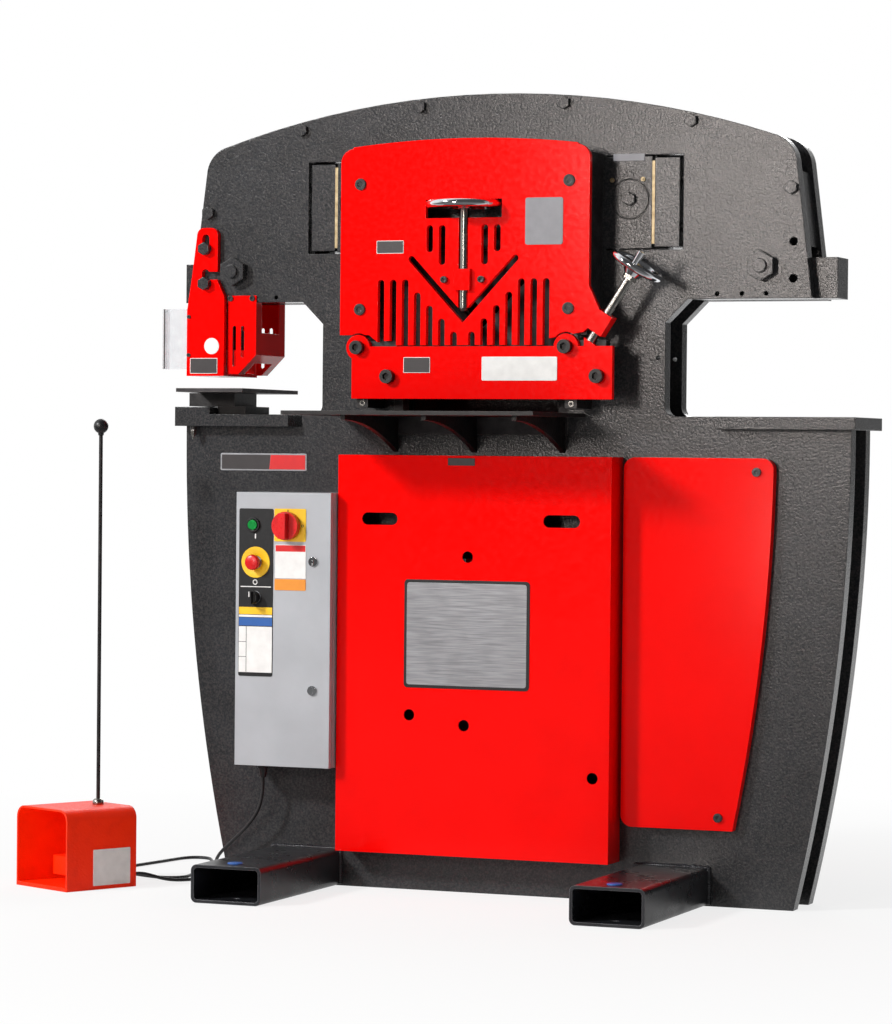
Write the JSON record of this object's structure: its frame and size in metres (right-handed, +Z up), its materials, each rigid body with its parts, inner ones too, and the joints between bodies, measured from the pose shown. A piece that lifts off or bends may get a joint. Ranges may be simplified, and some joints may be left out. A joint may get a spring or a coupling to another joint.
{
  "type": "hydraulic ironworker",
  "caption": "Freestanding hydraulic ironworker with a punch station, bar and angle shears, an open tool end, a control cabinet and a guarded foot switch on a cord.",
  "frame": {"origin": "on the floor, at the middle of the four anchor holes in the feet", "axes": "+Z up, -Y towards the operator, +X towards the open tool end (the operator's right)"},
  "size_m": [1.7018, 0.932, 1.628],
  "materials": {
    "frame_coat": "charcoal textured powder coat",
    "foot_paint": "dark grey satin paint",
    "black_oxide": "black oxide steel",
    "bronze": "satin bronze",
    "red_paint": "gloss red powder coat",
    "zinc_steel": "zinc plated steel",
    "chrome": "polished chrome",
    "tool_steel": "ground tool steel",
    "blue_grey_paint": "satin enamel",
    "black_rubber": "black sheath",
    "clear_plastic": "clear polycarbonate",
    "grey_paint": "light grey satin powder coat",
    "green_plastic": "gloss green plastic",
    "red_plastic": "gloss red plastic",
    "black_plastic": "matt black plastic",
    "orange_paint": "orange-red paint"
  },
  "bodies": {
    "frame": {"front_plate": "frame_coat", "rear_plate": "frame_coat", "frame_spacers": "frame_coat", "left_bolster": "frame_coat", "right_bolster": "frame_coat", "shear_table": "frame_coat", "guide_blocks": "frame_coat", "shear_housing": "frame_coat", "rear_hood": "frame_coat", "feet": "foot_paint", "frame_bolts": "black_oxide", "tie_studs": "black_oxide", "die_holder": "black_oxide", "die_plate": "black_oxide", "gib_blocks": "black_oxide", "gib_keepers": "black_oxide", "blade_block": "black_oxide", "gib_strips": "bronze", "grease_nipples": "bronze", "upper_guard": "red_paint", "spindle_bosses": "red_paint", "punch_guard": "red_paint", "front_cover": "red_paint", "side_panel": "red_paint", "rear_cover": "red_paint", "lower_blades": "tool_steel", "die": "tool_steel", "main_cylinder": "tool_steel", "motor_and_valve": "tool_steel", "oil_tank": "blue_grey_paint", "hoses": "black_rubber", "pedal_cord": "black_rubber", "cabinet": "grey_paint", "cable_glands": "black_plastic", "pedal_rod": "black_plastic", "pedal_guard": "orange_paint", "pedal_base": "orange_paint"},
    "ram": {"beam": "black_oxide", "upper_blades": "tool_steel", "pull_yoke": "tool_steel", "piston_rod": "chrome", "punch_holder": "black_oxide", "punch": "tool_steel"},
    "angle_clamp": {"angle_tip": "zinc_steel"},
    "angle_screw": {"angle_spindle": "zinc_steel", "angle_handwheel": "chrome"},
    "hold_down": {"hold_down_plate": "red_paint", "shoulder_bolts": "black_oxide"},
    "flat_screw": {"flat_spindle": "zinc_steel", "flat_handwheel": "chrome"},
    "stripper_bracket": {"stripper": "red_paint", "clear_shield": "clear_plastic"},
    "door": {"cabinet_door": "grey_paint"},
    "start": {"start_button": "green_plastic"},
    "emergency_stop": {"estop_button": "red_plastic"},
    "selector": {"selector_knob": "black_plastic"},
    "disconnect": {"disconnect_handle": "red_plastic"},
    "latch_upper": {"upper_latch": "chrome"},
    "latch_lower": {"lower_latch": "chrome"},
    "treadle": {"treadle_pad": "orange_paint"}
  },
  "joints": [
    {"name": "ram_slide", "type": "slide", "parent": "frame", "child": "ram", "axis": [0, 0, -1], "range_m": [0, 0.038]},
    {"name": "angle_clamp_slide", "type": "slide", "parent": "frame", "child": "angle_clamp", "axis": [0, 0, -1], "range_m": [0, 0.015]},
    {"name": "angle_screw_turn", "type": "hinge", "parent": "angle_clamp", "child": "angle_screw", "pos_m": [-0.022, -0.166, 1.397], "axis": [0, 0, -1], "range_deg": [0, 1350]},
    {"name": "hold_down_slide", "type": "slide", "parent": "frame", "child": "hold_down", "axis": [-0.5432, 0, -0.8396], "range_m": [0, 0.02]},
    {"name": "flat_screw_turn", "type": "hinge", "parent": "hold_down", "child": "flat_screw", "pos_m": [0.2486, -0.166, 1.1216], "axis": [-0.5432, 0, -0.8396], "range_deg": [0, 1800]},
    {"name": "stripper_slide", "type": "slide", "parent": "frame", "child": "stripper_bracket", "axis": [0, 0, -1], "range_m": [0, 0.022]},
    {"name": "door_hinge", "type": "hinge", "parent": "frame", "child": "door", "pos_m": [-0.514, -0.162, 0.5315], "axis": [0, 0, -1], "range_deg": [0, 90]},
    {"name": "start_press", "type": "slide", "parent": "door", "child": "start", "axis": [0, 1, 0], "range_m": [0, 0.004], "stiffness_N_per_m": 800},
    {"name": "emergency_stop_press", "type": "slide", "parent": "door", "child": "emergency_stop", "axis": [0, 1, 0], "range_m": [0, 0.005]},
    {"name": "selector_turn", "type": "hinge", "parent": "door", "child": "selector", "pos_m": [-0.47696, -0.17, 0.59681], "axis": [0, 1, 0], "range_deg": [-45, 45]},
    {"name": "disconnect_turn", "type": "hinge", "parent": "door", "child": "disconnect", "pos_m": [-0.4034, -0.17, 0.74488], "axis": [0, 1, 0], "range_deg": [0, 90]},
    {"name": "upper_latch_turn", "type": "hinge", "parent": "door", "child": "latch_upper", "pos_m": [-0.34616, -0.17, 0.67225], "axis": [0, 1, 0], "range_deg": [0, 90]},
    {"name": "lower_latch_turn", "type": "hinge", "parent": "door", "child": "latch_lower", "pos_m": [-0.34616, -0.17, 0.4082], "axis": [0, 1, 0], "range_deg": [0, 90]},
    {"name": "treadle_press", "type": "hinge", "parent": "frame", "child": "treadle", "pos_m": [-0.78557, -0.25887, 0.034], "axis": [0.8988, -0.4384, 0], "range_deg": [0, 7], "stiffness_Nm_per_rad": 20, "springref_deg": -11.46}
  ],
  "couplings": [
    {"joint": "angle_clamp_slide", "follows": "angle_screw_turn", "m_per_rad": 0.00063662},
    {"joint": "hold_down_slide", "follows": "flat_screw_turn", "m_per_rad": 0.00063662}
  ]
}
